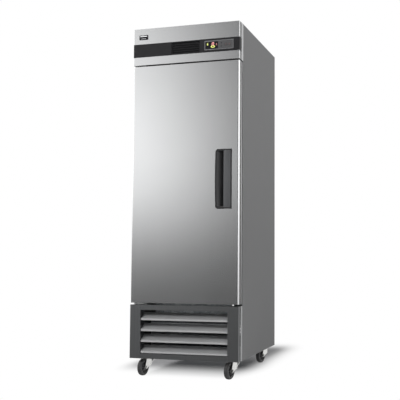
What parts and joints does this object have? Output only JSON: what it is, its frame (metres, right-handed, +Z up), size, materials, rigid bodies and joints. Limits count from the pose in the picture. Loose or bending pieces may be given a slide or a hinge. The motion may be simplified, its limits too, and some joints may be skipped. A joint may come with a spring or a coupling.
{
  "type": "reach in refrigerator",
  "caption": "Upright one-door stainless commercial refrigerator on swivel casters, with a front louvred machine grille and a header with a thermostat.",
  "frame": {"origin": "on the floor, under the middle of the cabinet", "axes": "+Z up, +Y from the door to the back, +X to the right as seen from the front (the handle side)"},
  "size_m": [0.685, 0.8, 2.11],
  "materials": {
    "stainless": "vertical satin grain",
    "coated_steel": "satin grey",
    "galvanised": "dull zinc",
    "zinc": "bright zinc plate",
    "foam": "foamed in place",
    "black_plastic": "fine moulded texture",
    "grip_plastic": "fine moulded texture",
    "bezel_plastic": "satin",
    "key_plastic": "satin",
    "display": "polished",
    "badge": "polished",
    "gasket": "matte",
    "finned_aluminium": "mill finish",
    "motor_paint": "satin black",
    "lamp": "milky",
    "copper": "drawn tube",
    "shelf_wire": "coated wire",
    "tyre": "matte"
  },
  "bodies": {
    "cabinet": {"side_panels": "coated_steel", "top_panel": "coated_steel", "back_panel": "coated_steel", "front_frame": "stainless", "insulation_foam": "foam", "liner_walls": "stainless", "machine_deck": "galvanised", "base_pan": "galvanised", "caster_plates": "zinc", "grille_frame": "stainless", "grille_louvres": "stainless", "header_shell": "stainless", "fascia_band": "black_plastic", "fascia_vent": "black_plastic", "controller_bezel": "bezel_plastic", "display_window": "display", "badge_plate": "badge", "hinge_bracket_top": "stainless", "hinge_bracket_bottom": "stainless", "shelf_pilasters": "stainless", "shelf_clips": "stainless", "evaporator_housing": "stainless", "evaporator_coil": "finned_aluminium", "evaporator_fan_motor": "motor_paint", "evaporator_fan_guard": "zinc", "interior_lamp": "lamp", "compressor": "motor_paint", "condenser_coil": "finned_aluminium", "condenser_fan_shroud": "galvanised", "condenser_fan_motor": "motor_paint", "condensate_pan": "black_plastic", "refrigerant_lines": "copper", "electrical_box": "galvanised", "rear_grille": "galvanised", "panel_screws": "zinc"},
    "door": {"door_skin": "stainless", "door_edge_strip": "black_plastic", "door_liner": "stainless", "door_foam": "foam", "door_gasket": "gasket", "handle_cup": "black_plastic", "handle_grip": "grip_plastic", "hinge_bushes": "black_plastic"},
    "evaporator_fan": {"evaporator_fan_blades": "black_plastic"},
    "condenser_fan": {"condenser_fan_blades": "black_plastic"},
    "light_key": {"key_light": "key_plastic"},
    "power_key": {"key_power": "key_plastic"},
    "shelf_1": {"shelf_1": "shelf_wire"},
    "shelf_2": {"shelf_2": "shelf_wire"},
    "shelf_3": {"shelf_3": "shelf_wire"},
    "caster_front_left_swivel": {"caster_front_left_fork": "zinc"},
    "caster_front_left_roller": {"caster_front_left_wheel": "tyre"},
    "caster_front_left_pedal": {"caster_front_left_brake": "zinc"},
    "caster_front_right_swivel": {"caster_front_right_fork": "zinc"},
    "caster_front_right_roller": {"caster_front_right_wheel": "tyre"},
    "caster_front_right_pedal": {"caster_front_right_brake": "zinc"},
    "caster_rear_left_swivel": {"caster_rear_left_fork": "zinc"},
    "caster_rear_left_roller": {"caster_rear_left_wheel": "tyre"},
    "caster_rear_right_swivel": {"caster_rear_right_fork": "zinc"},
    "caster_rear_right_roller": {"caster_rear_right_wheel": "tyre"}
  },
  "joints": [
    {"name": "door_hinge", "type": "hinge", "parent": "cabinet", "child": "door", "pos_m": [-0.3145, -0.368, 1.1555], "axis": [0, 0, -1], "range_deg": [0, 110]},
    {"name": "evaporator_fan_spin", "type": "hinge", "parent": "cabinet", "child": "evaporator_fan", "pos_m": [0, -0.1388, 1.876], "axis": [0, 0, 1], "continuous": true},
    {"name": "condenser_fan_spin", "type": "hinge", "parent": "cabinet", "child": "condenser_fan", "pos_m": [0, -0.2008, 0.251], "axis": [0, 1, 0], "continuous": true},
    {"name": "light_key_press", "type": "slide", "parent": "cabinet", "child": "light_key", "axis": [0, 1, 0], "range_m": [0, 0.0012], "stiffness_N_per_m": 400},
    {"name": "power_key_press", "type": "slide", "parent": "cabinet", "child": "power_key", "axis": [0, 1, 0], "range_m": [0, 0.0012], "stiffness_N_per_m": 400},
    {"name": "shelf_1_lift", "type": "slide", "parent": "cabinet", "child": "shelf_1", "axis": [0, 0, 1], "range_m": [0, 0.03]},
    {"name": "shelf_2_lift", "type": "slide", "parent": "cabinet", "child": "shelf_2", "axis": [0, 0, 1], "range_m": [0, 0.03]},
    {"name": "shelf_3_lift", "type": "slide", "parent": "cabinet", "child": "shelf_3", "axis": [0, 0, 1], "range_m": [0, 0.03]},
    {"name": "caster_front_left_swivel_turn", "type": "hinge", "parent": "cabinet", "child": "caster_front_left_swivel", "pos_m": [-0.2745, -0.308, 0.126], "axis": [0, 0, 1], "continuous": true},
    {"name": "caster_front_left_roll", "type": "hinge", "parent": "caster_front_left_swivel", "child": "caster_front_left_roller", "pos_m": [-0.27764, -0.34386, 0.05], "axis": [0.9962, -0.0872, 0], "continuous": true},
    {"name": "caster_front_left_brake_press", "type": "hinge", "parent": "caster_front_left_swivel", "child": "caster_front_left_pedal", "pos_m": [-0.27284, -0.28907, 0.064], "axis": [-0.9962, 0.0872, 0], "range_deg": [0, 12]},
    {"name": "caster_front_right_swivel_turn", "type": "hinge", "parent": "cabinet", "child": "caster_front_right_swivel", "pos_m": [0.2745, -0.308, 0.126], "axis": [0, 0, 1], "continuous": true},
    {"name": "caster_front_right_roll", "type": "hinge", "parent": "caster_front_right_swivel", "child": "caster_front_right_roller", "pos_m": [0.26949, -0.34365, 0.05], "axis": [0.9903, -0.1392, 0], "continuous": true},
    {"name": "caster_front_right_brake_press", "type": "hinge", "parent": "caster_front_right_swivel", "child": "caster_front_right_pedal", "pos_m": [0.27714, -0.28919, 0.064], "axis": [-0.9903, 0.1392, 0], "range_deg": [0, 12]},
    {"name": "caster_rear_left_swivel_turn", "type": "hinge", "parent": "cabinet", "child": "caster_rear_left_swivel", "pos_m": [-0.2745, 0.3436, 0.126], "axis": [0, 0, 1], "continuous": true},
    {"name": "caster_rear_left_roll", "type": "hinge", "parent": "caster_rear_left_swivel", "child": "caster_rear_left_roller", "pos_m": [-0.26702, 0.30839, 0.05], "axis": [0.9781, 0.2079, 0], "continuous": true},
    {"name": "caster_rear_right_swivel_turn", "type": "hinge", "parent": "cabinet", "child": "caster_rear_right_swivel", "pos_m": [0.2745, 0.3436, 0.126], "axis": [0, 0, 1], "continuous": true},
    {"name": "caster_rear_right_roll", "type": "hinge", "parent": "caster_rear_right_swivel", "child": "caster_rear_right_roller", "pos_m": [0.26887, 0.30804, 0.05], "axis": [0.9877, -0.1564, 0], "continuous": true}
  ]
}
